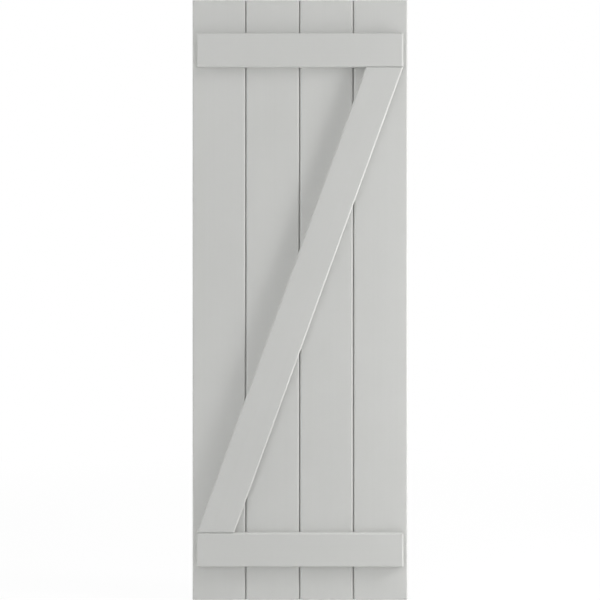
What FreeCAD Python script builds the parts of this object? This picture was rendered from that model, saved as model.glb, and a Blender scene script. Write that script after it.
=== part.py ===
import FreeCAD, Part
import Sketcher
import os

# Board and batten shutter, in millimetres: upright boards butted edge to edge, two level battens
# laid across their front, and a diagonal brace cut to fit between the battens. A narrow rebate
# along the edge of each board but the last leaves a dark line in front of where two boards meet.
# Frame: +Z is up, +X is to the right of someone facing the shutter, and the front faces -Y.
# The back of the boards lies in the plane y = 0, and the origin is the middle of that back face.

SIZES = {
    "board_width": 136.525,
    "board_length": 1524.0,
    "board_thickness": 15.875,
    "rebate_width": 2.0,
    "rebate_depth": 7.9375,
    "batten_width": 85.725,
    "batten_thickness": 15.875,
    "batten_end_setback": 87.3125,
    "batten_side_inset": 12.0,
    "brace_width": 88.9,
    "brace_thickness": 15.875,
    "brace_end_clearance": 0.3,
    "edge_round": 4.7625,
}
BOARD_NAMES = ("left_board", "left_middle_board", "right_middle_board", "right_board")

# What follows from the sizes, as expressions on the sheet's cells.
PANEL_WIDTH = f"{len(BOARD_NAMES)} * Sizes.board_width"
BATTEN_LENGTH = f"({PANEL_WIDTH} - 2 * Sizes.batten_side_inset)"
BATTEN_CENTRE_HEIGHT = "(Sizes.board_length / 2 - Sizes.batten_end_setback - Sizes.batten_width / 2)"
SPACE_BETWEEN_BATTENS = f"(2 * {BATTEN_CENTRE_HEIGHT} - Sizes.batten_width)"
BRACE_HEIGHT = f"({SPACE_BETWEEN_BATTENS} - 2 * Sizes.brace_end_clearance)"

doc = FreeCAD.newDocument("BoardAndBattenShutter")


def make_sheet():
    """The driving dimensions, one row each: a name, and a number under that name as its alias."""
    sheet = doc.addObject("Spreadsheet::Sheet", "Sizes")
    for row, (alias, value) in enumerate(SIZES.items(), start=1):
        sheet.set(f"A{row}", alias)
        sheet.set(f"B{row}", str(value))
        sheet.setAlias(f"B{row}", alias)
    doc.recompute()


def new_sketch(body, name):
    """A sketch on the body's upright plane, seen from the front: right is +X, up is +Z."""
    sketch = body.newObject("Sketcher::SketchObject", f"{body.Name}_{name}")
    upright = next(plane for plane in body.Origin.OriginFeatures if plane.Role == "XZ_Plane")
    sketch.AttachmentSupport = (upright, [""])
    sketch.MapMode = "FlatFace"
    return sketch


def add_four_sides(sketch, corners):
    """Four lines in a ring, joined at the corners, with the level ones kept level.

    The corners run from the lower left one, anticlockwise. Side 0 is the lower end, side 2 the upper.
    """
    for index, start in enumerate(corners):
        end = corners[(index + 1) % len(corners)]
        sketch.addGeometry(Part.LineSegment(FreeCAD.Vector(*start, 0), FreeCAD.Vector(*end, 0)), False)
    for index in range(len(corners)):
        sketch.addConstraint(Sketcher.Constraint("Coincident", index, 2, (index + 1) % len(corners), 1))
    sketch.addConstraint(Sketcher.Constraint("Horizontal", 0))
    sketch.addConstraint(Sketcher.Constraint("Horizontal", 2))


def add_size(sketch, constraint, expression):
    """A dimension of the sketch that follows an expression on the sheet."""
    index = sketch.addConstraint(constraint)
    sketch.setExpression(f"Constraints[{index}]", expression)


def centre_on_origin(sketch):
    """The lower left and upper right corners lie opposite each other about the sketch's origin."""
    sketch.addConstraint(Sketcher.Constraint("Symmetric", 0, 1, 2, 1, -1, 1))


def draw_rectangle(sketch, width, height):
    """A rectangle about the sketch's origin; width and height are expressions."""
    add_four_sides(sketch, ((-50, -50), (50, -50), (50, 50), (-50, 50)))
    sketch.addConstraint(Sketcher.Constraint("Vertical", 1))
    sketch.addConstraint(Sketcher.Constraint("Vertical", 3))
    centre_on_origin(sketch)
    add_size(sketch, Sketcher.Constraint("DistanceX", 0, 1, 2, 1, 100), width)
    add_size(sketch, Sketcher.Constraint("DistanceY", 0, 1, 2, 1, 100), height)


def draw_leaning_strip(sketch, reach, height, width):
    """A strip that leans to the right, with level ends, about the sketch's origin.

    Its lower left and upper right corners are reach apart across and height apart up, and width is
    measured square to its long sides. All three are expressions.
    """
    add_four_sides(sketch, ((-250, -500), (-150, -500), (250, 500), (150, 500)))
    sketch.addConstraint(Sketcher.Constraint("Parallel", 1, 3))
    centre_on_origin(sketch)
    add_size(sketch, Sketcher.Constraint("DistanceX", 0, 1, 2, 1, 500), reach)
    add_size(sketch, Sketcher.Constraint("DistanceY", 0, 1, 2, 1, 1000), height)
    add_size(sketch, Sketcher.Constraint("Distance", 0, 1, 1, 90), width)


def raise_stock(body, sketch, thickness):
    """The square-edged plank: an outline raised towards the front."""
    stock = body.newObject("PartDesign::Pad", body.Name + "_stock")
    stock.Profile = sketch
    stock.setExpression("Length", thickness)
    doc.recompute()
    return stock


def cut_rebate(body, stock):
    """The rebate along the right-hand edge of a board's front, cut from the face down to a lip."""
    sketch = new_sketch(body, "rebate_outline")
    sketch.setExpression("AttachmentOffset.Base.x", "(Sizes.board_width - Sizes.rebate_width) / 2")
    sketch.setExpression("AttachmentOffset.Base.z", "Sizes.board_thickness")
    draw_rectangle(sketch, "Sizes.rebate_width", "Sizes.board_length")
    rebate = body.newObject("PartDesign::Pocket", body.Name + "_rebate")
    rebate.Profile = sketch
    rebate.setExpression("Length", "Sizes.rebate_depth")
    doc.recompute()
    if rebate.Shape.Volume >= stock.Shape.Volume:
        raise RuntimeError(f"{body.Label} has no rebate")
    return rebate


def round_front(body, plank):
    """All edges of the plank's foremost face rounded over."""
    front = FreeCAD.Vector(0, -1, 0)
    facing_front = {
        face.CenterOfMass.y: f"Face{number}"
        for number, face in enumerate(plank.Shape.Faces, start=1)
        if face.normalAt(0, 0).isEqual(front, 1e-6)
    }
    foremost = facing_front[min(facing_front)]
    rounded = body.newObject("PartDesign::Fillet", body.Name + "_round_over")
    rounded.Base = (plank, [foremost])
    rounded.setExpression("Radius", "Sizes.edge_round")
    body.Tip = rounded


def new_body(name):
    body = doc.addObject("PartDesign::Body", name)
    body.Label = name
    return body


def make_board(name, place, rebated):
    """One upright board. Its place is counted in boards from the middle of the shutter."""
    body = new_body(name)
    sketch = new_sketch(body, "outline")
    draw_rectangle(sketch, "Sizes.board_width", "Sizes.board_length")
    plank = raise_stock(body, sketch, "Sizes.board_thickness")
    if rebated:
        plank = cut_rebate(body, plank)
    round_front(body, plank)
    body.setExpression("Placement.Base.x", f"{place} * Sizes.board_width")
    return body


def make_batten(name, side):
    """One level batten on the front of the boards, above the middle (side 1) or below it (side -1)."""
    body = new_body(name)
    sketch = new_sketch(body, "outline")
    draw_rectangle(sketch, BATTEN_LENGTH, "Sizes.batten_width")
    round_front(body, raise_stock(body, sketch, "Sizes.batten_thickness"))
    body.setExpression("Placement.Base.y", "-Sizes.board_thickness")
    body.setExpression("Placement.Base.z", f"{side} * {BATTEN_CENTRE_HEIGHT}")
    return body


def make_brace(name):
    """The diagonal brace, from the lower left to the upper right corner between the battens."""
    body = new_body(name)
    sketch = new_sketch(body, "outline")
    draw_leaning_strip(sketch, BATTEN_LENGTH, BRACE_HEIGHT, "Sizes.brace_width")
    round_front(body, raise_stock(body, sketch, "Sizes.brace_thickness"))
    body.setExpression("Placement.Base.y", "-Sizes.board_thickness")
    return body


def check(bodies):
    """Every object of the document was worked out, and each piece is one valid solid."""
    for item in doc.Objects:
        if "Invalid" in item.State or "Error" in item.State:
            raise RuntimeError(f"{item.Label} could not be worked out: {item.State}")
    for body in bodies:
        if body.Shape.isNull() or not body.Shape.isValid():
            raise RuntimeError(f"{body.Label} has no valid shape")
        if len(body.Shape.Solids) != 1:
            raise RuntimeError(f"{body.Label} is not one solid")


make_sheet()
middle = (len(BOARD_NAMES) - 1) / 2
pieces = []
for index, name in enumerate(BOARD_NAMES):
    pieces.append(make_board(name, index - middle, rebated=name != BOARD_NAMES[-1]))
pieces.append(make_batten("top_batten", 1))
pieces.append(make_batten("bottom_batten", -1))
pieces.append(make_brace("diagonal_brace"))
doc.recompute()
check(pieces)

os.makedirs("parts", exist_ok=True)
for piece in pieces:
    piece.Shape.exportStep(f"parts/{piece.Label}.step")
    print(f"{piece.Label}: {piece.Shape.Volume / 1000:.1f} cm3, {piece.Shape.BoundBox}")
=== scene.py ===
import math
import random

import bmesh
import bpy
from mathutils import Matrix, Vector


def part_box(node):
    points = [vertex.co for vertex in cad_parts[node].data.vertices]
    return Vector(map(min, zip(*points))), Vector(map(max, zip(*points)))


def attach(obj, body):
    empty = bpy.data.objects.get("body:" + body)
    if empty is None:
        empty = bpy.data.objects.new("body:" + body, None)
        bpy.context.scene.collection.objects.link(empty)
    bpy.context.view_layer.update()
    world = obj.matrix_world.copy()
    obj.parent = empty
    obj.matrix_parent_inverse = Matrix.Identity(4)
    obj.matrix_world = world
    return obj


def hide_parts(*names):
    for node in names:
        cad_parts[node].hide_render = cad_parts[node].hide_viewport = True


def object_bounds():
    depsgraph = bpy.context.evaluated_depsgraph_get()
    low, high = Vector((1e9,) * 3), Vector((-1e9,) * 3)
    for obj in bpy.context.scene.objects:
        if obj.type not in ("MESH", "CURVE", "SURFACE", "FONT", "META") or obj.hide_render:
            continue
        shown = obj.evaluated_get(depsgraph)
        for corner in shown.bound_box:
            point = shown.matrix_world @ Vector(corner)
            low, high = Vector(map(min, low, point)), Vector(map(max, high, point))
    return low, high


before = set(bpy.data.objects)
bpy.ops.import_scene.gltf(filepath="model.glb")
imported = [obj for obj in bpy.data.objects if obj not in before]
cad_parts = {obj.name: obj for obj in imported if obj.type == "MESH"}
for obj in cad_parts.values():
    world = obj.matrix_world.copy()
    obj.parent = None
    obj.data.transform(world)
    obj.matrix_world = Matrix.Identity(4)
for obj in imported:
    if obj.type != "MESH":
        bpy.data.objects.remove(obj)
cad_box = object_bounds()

# The boards: four planks of foamed plastic with a smooth moulded skin, painted light grey and butted
# edge to edge. A round-over cutter has run along every front edge, a narrow rebate leaves a dark line
# where two boards meet, and screw holes are countersunk from the back behind the other pieces.
BOARDS = ("left_board", "left_middle_board", "right_middle_board", "right_board")
BATTENS = ("top_batten", "bottom_batten")
BRACE = "diagonal_brace"
CLOSE = 0.00005
RUBBED_EDGE = 0.001
CORNER_EASE = 0.001
SHARPEST_CORNER = 0.0004
ROUND_STEPS = 8
RUBBED_STEPS = 3
CORNER_STEPS = 4
SHARP_ANGLE = math.radians(35)
QUARTER_TURN = math.pi / 2


def points_of(node):
    """The corner points of a piece of the frame."""
    return [vert.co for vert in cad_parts[node].data.vertices]


def flat_front(node):
    """How far the flat front of a piece reaches from left to right, between its rounded edges."""
    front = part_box(node)[0].y
    across = [point.x for point in points_of(node) if point.y < front + CLOSE]
    return min(across), max(across)


ROUND_OVER = flat_front(BOARDS[0])[0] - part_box(BOARDS[0])[0].x


def eased_outline(corners, inset, ease):
    """A convex outline, anticlockwise from the front, drawn in by inset and with softened corners."""
    points = []
    for index, corner in enumerate(corners):
        before = (corner - corners[index - 1]).normalized()
        after = (corners[(index + 1) % len(corners)] - corner).normalized()
        out_before = Vector((before.y, -before.x))
        out_after = Vector((after.y, -after.x))
        mitre = (out_before + out_after) / (1 + out_before.dot(out_after))
        centre = corner - mitre * (inset + ease)
        for step in range(CORNER_STEPS + 1):
            outward = out_before.slerp(out_after, step / CORNER_STEPS)
            points.append(centre + outward * ease)
    return points


def add_ring(bm, points, y):
    """A closed ring of new points at one depth; each point is an X and a Z."""
    return [bm.verts.new((point.x, y, point.y)) for point in points]


def join_rings(bm, first, second):
    """A band of four-sided faces between two rings with as many points."""
    count = len(first)
    for index in range(count):
        after = (index + 1) % count
        bm.faces.new((first[index], first[after], second[after], second[index]))


def circle(centre, radius, count):
    """Points of a circle about an X and Z place, anticlockwise from the front."""
    turns = [2 * math.pi * index / count for index in range(count)]
    return [centre + radius * Vector((math.cos(turn), math.sin(turn))) for turn in turns]


def fill_between(bm, rings):
    """Flat faces inside the first ring and outside the others."""
    edges = []
    for ring in rings:
        for index, vert in enumerate(ring):
            ends = (vert, ring[index - 1])
            edges.append(bm.edges.get(ends) or bm.edges.new(ends))
    bmesh.ops.triangle_fill(bm, edges=edges, use_beauty=True)


def new_piece(name, bm):
    """The finished mesh as an object: rounded edges shade smoothly, and flat faces stay flat."""
    bmesh.ops.recalc_face_normals(bm, faces=bm.faces[:])
    for face in bm.faces:
        face.smooth = True
    for edge in bm.edges:
        edge.smooth = edge.calc_face_angle(0) < SHARP_ANGLE
    mesh = bpy.data.meshes.new(name)
    bm.to_mesh(mesh)
    bm.free()
    piece = bpy.data.objects.new(name, mesh)
    bpy.context.scene.collection.objects.link(piece)
    normals = piece.modifiers.new("flat_faces", "WEIGHTED_NORMAL")
    normals.keep_sharp = True
    return piece


HOLE_STEPS = 32
HOLE_MOUTH = 0.0046
HEAD_SINK = 0.0008
HEAD_RADIUS = 0.0043
HEAD_DEPTH = 0.0026
SHANK_RADIUS = 0.0019
HOLE_CLEARANCE = 0.0002


def cut_screw_hole(bm, centre, back):
    """The countersunk hole of one screw, as a ring at the back face that its walls lead in from."""
    seat = back - HEAD_SINK - HOLE_CLEARANCE
    floor = seat - HEAD_DEPTH - HOLE_CLEARANCE
    mouth = add_ring(bm, circle(centre, HOLE_MOUTH, HOLE_STEPS), back)
    shoulder = add_ring(bm, circle(centre, HOLE_MOUTH, HOLE_STEPS), seat)
    throat = add_ring(bm, circle(centre, SHANK_RADIUS + HOLE_CLEARANCE, HOLE_STEPS), floor)
    join_rings(bm, mouth, shoulder)
    join_rings(bm, shoulder, throat)
    bm.faces.new(throat)
    return mouth


def make_plank(name, corners, back, front, screws=(), face_corners=None, lip=None):
    """A plank between two depths, rounded over in front, with a hole in its back for each screw.

    Where a rebate makes its front part narrower than its back, face_corners gives the outline of that
    part, and lip is the depth at which it starts. On the sides where the two outlines are one and the
    same, their points are welded.
    """
    bm = bmesh.new()
    rings = []
    for step in range(RUBBED_STEPS + 1):
        turn = QUARTER_TURN * step / RUBBED_STEPS
        inset = RUBBED_EDGE * (1 - math.sin(turn))
        depth = back - RUBBED_EDGE * (1 - math.cos(turn))
        rings.append(add_ring(bm, eased_outline(corners, inset, CORNER_EASE), depth))
    if face_corners:
        for outline in (corners, face_corners):
            rings.append(add_ring(bm, eased_outline(outline, 0, CORNER_EASE), lip))
    for step in range(ROUND_STEPS + 1):
        turn = QUARTER_TURN * step / ROUND_STEPS
        inset = ROUND_OVER * (1 - math.cos(turn))
        depth = front + ROUND_OVER * (1 - math.sin(turn))
        ease = CORNER_EASE + (SHARPEST_CORNER - CORNER_EASE) * math.sin(turn)
        rings.append(add_ring(bm, eased_outline(face_corners or corners, inset, ease), depth))
    for first, second in zip(rings, rings[1:]):
        join_rings(bm, first, second)
    bm.faces.new(rings[-1])
    if face_corners:
        bmesh.ops.remove_doubles(bm, verts=bm.verts[:], dist=CLOSE)
        bmesh.ops.dissolve_degenerate(bm, edges=bm.edges[:], dist=CLOSE)
    holes = [cut_screw_hole(bm, centre, back) for centre in screws]
    fill_between(bm, [rings[0], *holes])
    return new_piece(name, bm)


def box_corners(low, high):
    """The front outline of an upright or level plank, from its box."""
    return [
        Vector((low.x, low.z)),
        Vector((high.x, low.z)),
        Vector((high.x, high.z)),
        Vector((low.x, high.z)),
    ]


def brace_corners():
    """The front outline of the brace: its box, and the length of its level foot."""
    low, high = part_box(BRACE)
    foot = [point.x for point in points_of(BRACE) if point.z < low.z + CLOSE]
    foot_length = max(foot) - min(foot)
    return [
        Vector((low.x, low.z)),
        Vector((low.x + foot_length, low.z)),
        Vector((high.x, high.z)),
        Vector((high.x - foot_length, high.z)),
    ]


SCREW_SPREAD = 0.038
SCREW_STAGGER = 0.018
SCREW_MARGIN = 0.027


def screw_places(board):
    """Where screws go in from the back of a board: two to each batten, staggered, and two to the brace."""
    low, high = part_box(board)
    middle = (low.x + high.x) / 2
    places = []
    for batten in BATTENS:
        batten_low, batten_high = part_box(batten)
        height = (batten_low.z + batten_high.z) / 2
        places.append(Vector((middle - SCREW_SPREAD, height + SCREW_STAGGER)))
        places.append(Vector((middle + SCREW_SPREAD, height - SCREW_STAGGER)))
    corners = brace_corners()
    foot = (corners[0] + corners[1]) / 2
    head = (corners[2] + corners[3]) / 2
    for x in (max(low.x, foot.x) + SCREW_MARGIN, min(high.x, head.x) - SCREW_MARGIN):
        places.append(foot.lerp(head, (x - foot.x) / (head.x - foot.x)))
    return places


HALFWAY = 0.5


class Wire:
    """A socket in a material's nodes. Arithmetic on it adds Math nodes, and add makes any other node."""

    def __init__(self, tree, socket=None):
        self.tree = tree
        self.socket = socket

    def add(self, kind, settings, sockets, output=0):
        """One node: its settings first, then a value or a link for each named or numbered socket."""
        node = self.tree.nodes.new(kind)
        for name, value in settings.items():
            setattr(node, name, value)
        for name, value in sockets.items():
            if isinstance(value, Wire):
                value.feed(node, name)
            else:
                node.inputs[name].default_value = value
        return Wire(self.tree, node.outputs[output])

    def feed(self, node, name):
        """Lead this socket into a named or numbered socket of a node."""
        self.tree.links.new(self.socket, node.inputs[name])

    def maths(self, operation, *values):
        return self.add("ShaderNodeMath", {"operation": operation}, dict(enumerate(values)))

    def __add__(self, other):
        return self.maths("ADD", self, other)

    __radd__ = __add__

    def __sub__(self, other):
        return self.maths("SUBTRACT", self, other)

    def __rsub__(self, other):
        return self.maths("SUBTRACT", other, self)

    def __mul__(self, other):
        return self.maths("MULTIPLY", self, other)

    __rmul__ = __mul__

    def __abs__(self):
        return self.maths("ABSOLUTE", self)

    def at_most(self, limit):
        return self.maths("MINIMUM", self, limit)

    def swing(self, share):
        """A share of how far a pattern between 0 and 1 lies above or below halfway."""
        return (self - HALFWAY) * share

    def ramp(self, low, high):
        """0 below low and 1 above high, with a smooth rise between."""
        sockets = {"Value": self, "From Min": low, "From Max": high}
        return self.add("ShaderNodeMapRange", {"interpolation_type": "SMOOTHSTEP"}, sockets)

    def dot(self, direction):
        """The part of a vector that lies along a fixed direction."""
        sockets = {0: self, 1: direction}
        return self.add("ShaderNodeVectorMath", {"operation": "DOT_PRODUCT"}, sockets, "Value")


def new_finish(name):
    """A new material, with its shader and a wire to add its nodes by."""
    material = bpy.data.materials.new(name)
    material.use_nodes = True
    return material, material.node_tree.nodes["Principled BSDF"], Wire(material.node_tree)


SOFT = 2.0
FINE = 3.0


def noise(place, per_metre, detail):
    """Patches between 0 and 1, so many to a metre, with finer ones on them by the detail."""
    return place.add("ShaderNodeTexNoise", {}, {"Vector": place, "Scale": per_metre, "Detail": detail})


FIRST_COLOUR = 6
SECOND_COLOUR = 7
MIXED_COLOUR = 2


def mix_colours(factor, first, second):
    """A colour between two, by a factor that varies over the surface."""
    sockets = {"Factor": factor, FIRST_COLOUR: first, SECOND_COLOUR: second}
    return factor.add("ShaderNodeMix", {"data_type": "RGBA"}, sockets, MIXED_COLOUR)


def rgba(colour):
    return (*colour, 1.0)


PAINT_THIN = (0.580, 0.583, 0.570)
PAINT_DEEP = (0.524, 0.529, 0.512)
PAINT_SHEEN = 0.2
PAINT_ROUGH = 0.55
UP = (0, 0, 1)
RIGHT = (1, 0, 0)
INTO_WALL = (0, 1, 0)

DRIFTS_PER_METRE = 3.1
DRIFT_TONE = 0.7
DRIFT_ROUGH = 0.10

PEEL_PER_METRE = 420.0
PEEL_TONE = 0.25
PEEL_HEIGHT = 0.000016

LINES_ALONG = 1.3
LINES_ACROSS = 240.0
LINES_TONE = 0.3
LINES_ROUGH = 0.08
LINES_HEIGHT = 0.000008

CELLS_PER_METRE = 1500.0
SAWN_FACING = (0.93, 0.99)
SAWN_ROUGH = 0.18
OPEN_CELL = (0.2, 0.6)
# How far painted shade darkens the open cells of sawn ends toward the deep paint tone.
CELL_PAINTED_SHADE = 0.5
CELL_HEIGHT = 0.00012


def satin_paint(name, along, across):
    """Sprayed satin paint over a moulded skin: fine orange peel, faint drawn lines along the plank,
    a slow drift of tone, and open cells showing through where a plank is sawn across, their colour
    darkened as painted shade."""
    material, shader, wire = new_finish(name)
    place = wire.add("ShaderNodeTexCoord", {}, {}, "Object")
    normal = wire.add("ShaderNodeNewGeometry", {}, {}, "Normal")
    length = place.dot(along)
    width = place.dot(across)
    depth = place.dot(INTO_WALL)

    drift = noise(place, DRIFTS_PER_METRE, SOFT)
    peel = noise(place, PEEL_PER_METRE, SOFT)
    drawn = {0: length * LINES_ALONG, 1: width * LINES_ACROSS, 2: depth * LINES_ACROSS}
    lines = noise(wire.add("ShaderNodeCombineXYZ", {}, drawn), 1.0, FINE)
    cells = wire.add("ShaderNodeTexVoronoi", {}, {"Vector": place, "Scale": CELLS_PER_METRE})
    sawn = abs(normal.dot(along)).ramp(*SAWN_FACING)

    tone = HALFWAY + drift.swing(DRIFT_TONE) + lines.swing(LINES_TONE) + peel.swing(PEEL_TONE)
    colour = mix_colours(tone, rgba(PAINT_DEEP), rgba(PAINT_THIN))
    # Painted shade: the open cells of sawn ends are darkened toward the deep paint tone, standing in for
    # shade in the pores.
    painted_cell_shade = sawn * cells.ramp(*OPEN_CELL) * CELL_PAINTED_SHADE
    mix_colours(painted_cell_shade, colour, rgba(PAINT_DEEP)).feed(shader, "Base Color")
    shader.inputs["Specular IOR Level"].default_value = PAINT_SHEEN

    rough = PAINT_ROUGH + drift.swing(DRIFT_ROUGH) + lines.swing(LINES_ROUGH) + sawn * SAWN_ROUGH
    rough.feed(shader, "Roughness")

    height = peel * PEEL_HEIGHT + lines * LINES_HEIGHT + sawn * cells * CELL_HEIGHT
    bump = wire.add("ShaderNodeBump", {}, {"Height": height, "Distance": 1.0, "Strength": 1.0})
    bump.feed(shader, "Normal")
    return material


board_paint = satin_paint("board_paint", UP, RIGHT)
for node in BOARDS:
    low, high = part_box(node)
    outline = box_corners(low, high)
    face_right = flat_front(node)[1] + ROUND_OVER
    face = None
    lip = None
    if face_right < high.x - CLOSE:
        face = box_corners(low, Vector((face_right, high.y, high.z)))
        lip = min(point.y for point in points_of(node) if point.x > high.x - CLOSE)
    board = make_plank(node + "_finished", outline, high.y, low.y, screw_places(node), face, lip)
    board.data.materials.append(board_paint)
    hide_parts(node)
    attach(board, "root")

# The battens: two level planks of the same stock, cut to stop short of the shutter's sides, rounded
# over on all four front edges, glued across the boards and screwed on from behind.
batten_paint = satin_paint("batten_paint", RIGHT, UP)
for node in BATTENS:
    low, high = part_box(node)
    batten = make_plank(node + "_finished", box_corners(low, high), high.y, low.y)
    batten.data.materials.append(batten_paint)
    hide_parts(node)
    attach(batten, "root")

# The diagonal brace: one more plank, sawn level at both ends to fit between the battens with its
# outer corners in line with theirs, rounded over in front, glued down and screwed on from behind.
corners = brace_corners()
lean = (corners[3] - corners[0]).normalized()
brace_paint = satin_paint("brace_paint", (lean.x, 0, lean.y), (lean.y, 0, -lean.x))
low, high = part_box(BRACE)
brace = make_plank(BRACE + "_finished", corners, high.y, low.y)
brace.data.materials.append(brace_paint)
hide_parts(BRACE)
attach(brace, "root")

# The screws: small countersunk stainless steel screws with a cross recess, driven from the back
# through each board into the battens and the brace until the heads sit just under the surface.
CROSS_ARMS = 4
CROSS_REACH = 0.0024
CROSS_HALF_WIDTH = 0.0006
CROSS_DEPTH = 0.0016
CROSS_TAPER = 0.55
HEAD_EDGE = 0.0002
HEAD_STEPS = 32
TURN_SEED = 5


def cross_outline(centre, turn, scale):
    """The twelve corners of a cross recess, turned about the screw's axis."""
    reach = CROSS_REACH * scale
    half = CROSS_HALF_WIDTH * scale
    arm = [Vector((half, half)), Vector((reach, half)), Vector((reach, -half))]
    points = []
    for quarter in range(CROSS_ARMS):
        spin = Matrix.Rotation(turn - quarter * QUARTER_TURN, 2)
        points.extend(centre + spin @ corner for corner in arm)
    return points


def add_screw(bm, centre, top, turn):
    """One screw head and the start of its shank, with its cross recess, below a given depth."""
    rim = add_ring(bm, circle(centre, HEAD_RADIUS - HEAD_EDGE, HEAD_STEPS), top)
    edge = add_ring(bm, circle(centre, HEAD_RADIUS, HEAD_STEPS), top - HEAD_EDGE)
    neck = add_ring(bm, circle(centre, SHANK_RADIUS, HEAD_STEPS), top - HEAD_DEPTH)
    join_rings(bm, rim, edge)
    join_rings(bm, edge, neck)
    bm.faces.new(neck)
    mouth = add_ring(bm, cross_outline(centre, turn, 1.0), top)
    foot = add_ring(bm, cross_outline(centre, turn, CROSS_TAPER), top - CROSS_DEPTH)
    join_rings(bm, mouth, foot)
    bm.faces.new(foot)
    fill_between(bm, [rim, mouth])


STEEL_STAINED = (0.34, 0.33, 0.32)
STEEL_CLEAN = (0.50, 0.49, 0.48)
STEEL_ROUGH = 0.36
GRAINS_PER_METRE = 2600.0
GRAIN_ROUGH = 0.2
STAINS_PER_METRE = 240.0
STAIN_ROUGH = 0.1
steel, shader, wire = new_finish("screw_steel")
place = wire.add("ShaderNodeTexCoord", {}, {}, "Object")
grain = noise(place, GRAINS_PER_METRE, FINE)
stain = noise(place, STAINS_PER_METRE, SOFT)
mix_colours(stain, rgba(STEEL_STAINED), rgba(STEEL_CLEAN)).feed(shader, "Base Color")
rough = STEEL_ROUGH + grain * GRAIN_ROUGH + stain * STAIN_ROUGH
rough.feed(shader, "Roughness")
shader.inputs["Metallic"].default_value = 1.0

turns = random.Random(TURN_SEED)
bm = bmesh.new()
for node in BOARDS:
    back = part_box(node)[1].y
    for centre in screw_places(node):
        add_screw(bm, centre, back - HEAD_SINK, turns.uniform(0, QUARTER_TURN))
screws = new_piece("back_screws", bm)
screws.data.materials.append(steel)
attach(screws, "root")

# The studio: a pale floor under the shutter that reads as white to the camera but keeps a faint
# shadow. Soft lamps stand all round: the narrow one close by on the right catches the rounded edges,
# and a faint one lies at the foot.
FLOOR_SIZE = 30.0
FLOOR_PALE = (0.8, 0.8, 0.8)
FLOOR_ROUGH = 0.9
WHITE = (1.0, 1.0, 1.0)
WHITE_NEARBY = 0.94
FADE_OUT = (1.2, 3.0)
low, high = cad_box
half = FLOOR_SIZE / 2
floor_corners = [(-half, -half, low.z), (half, -half, low.z), (half, half, low.z), (-half, half, low.z)]
floor_mesh = bpy.data.meshes.new("floor")
floor_mesh.from_pydata(floor_corners, [], [(0, 1, 2, 3)])
floor = bpy.data.objects.new("floor", floor_mesh)
bpy.context.scene.collection.objects.link(floor)


def seen_by_camera(wire):
    """1 where the camera sees a surface, also by reflection or through glass, and 0 elsewhere."""
    straight = wire.add("ShaderNodeLightPath", {}, {}, "Is Camera Ray")
    reflected = wire.add("ShaderNodeLightPath", {}, {}, "Is Glossy Ray")
    through = wire.add("ShaderNodeLightPath", {}, {}, "Is Transmission Ray")
    return (straight + reflected + through).at_most(1.0)


pale, shader, wire = new_finish("floor_white")
floor_mesh.materials.append(pale)
shader.inputs["Base Color"].default_value = rgba(FLOOR_PALE)
shader.inputs["Roughness"].default_value = FLOOR_ROUGH
matt = Wire(pale.node_tree, shader.outputs[0])
glow = wire.add("ShaderNodeEmission", {}, {"Color": rgba(WHITE), "Strength": 1.0})
place = wire.add("ShaderNodeTexCoord", {}, {}, "Object")
away = wire.add("ShaderNodeVectorMath", {"operation": "LENGTH"}, {0: place}, "Value").ramp(*FADE_OUT)
share = seen_by_camera(wire) * (WHITE_NEARBY + away * (1 - WHITE_NEARBY))
surface = wire.add("ShaderNodeMixShader", {}, {0: share, 1: matt, 2: glow})
surface.feed(pale.node_tree.nodes["Material Output"], "Surface")

world = bpy.data.worlds.new("studio")
world.use_nodes = True
bpy.context.scene.world = world
background = world.node_tree.nodes["Background"]
background.inputs["Color"].default_value = rgba(WHITE)
seen_by_camera(Wire(world.node_tree)).feed(background, "Strength")


def softbox(name, place, aim, width, height, watts):
    """A flat lamp at a place, facing a point; its height runs upwards."""
    data = bpy.data.lights.new(name, "AREA")
    data.shape = "RECTANGLE"
    data.size = width
    data.size_y = height
    data.energy = watts
    lamp = bpy.data.objects.new(name, data)
    lamp.location = place
    lamp.rotation_euler = (Vector(aim) - Vector(place)).to_track_quat("-Z", "Y").to_euler()
    lamp.visible_camera = False
    bpy.context.scene.collection.objects.link(lamp)


SHUTTER_MIDDLE = (0, 0, 0)
BEFORE_MIDDLE = (0, -0.1, 0)
softbox("left_softbox", (-1.9, -2.1, 0.2), SHUTTER_MIDDLE, 2.2, 1.5, 25.8)
softbox("side_softbox", (-2.78, -0.74, 0.88), SHUTTER_MIDDLE, 0.9, 0.9, 13.3)
softbox("front_softbox", (0.0, -2.0, 1.8), SHUTTER_MIDDLE, 3.0, 3.0, 20)
softbox("top_softbox", (0.0, -0.95, 2.8), SHUTTER_MIDDLE, 1.2, 0.9, 14.7)
softbox("right_strip", (1.42, -0.35, 0.0), BEFORE_MIDDLE, 0.22, 1.45, 16.6)
softbox("right_softbox", (2.4, -0.6, 1.1), BEFORE_MIDDLE, 0.5, 0.8, 26)
softbox("foot_strip", (-0.05, -0.22, -0.74), (-0.05, 0, -0.72), 0.55, 0.03, 0.045)
softbox("back_softbox", (0.5, 2.3, 2.1), SHUTTER_MIDDLE, 1.6, 1.6, 85)

# The camera: level with the middle of the shutter and square to its front. The lens is as long as it
# takes for the boards' outline, just behind their rounded front edges, to fill the frame's height.
VIEW_DISTANCE = 2.9
SENSOR = 36.0
FRAME_PIXELS = 600
SHUTTER_PIXELS = 599.5
board_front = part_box(BOARDS[0])[0].y
camera = bpy.data.objects.new("camera", bpy.data.cameras.new("camera"))
camera.location = (0, board_front - VIEW_DISTANCE, 0)
camera.rotation_euler = (QUARTER_TURN, 0, 0)
camera.data.sensor_width = SENSOR
outline_distance = VIEW_DISTANCE + ROUND_OVER
camera.data.lens = SENSOR * outline_distance * SHUTTER_PIXELS / FRAME_PIXELS / (high.z - low.z)
bpy.context.scene.collection.objects.link(camera)
bpy.context.scene.camera = camera
bpy.context.scene.view_settings.view_transform = "Standard"
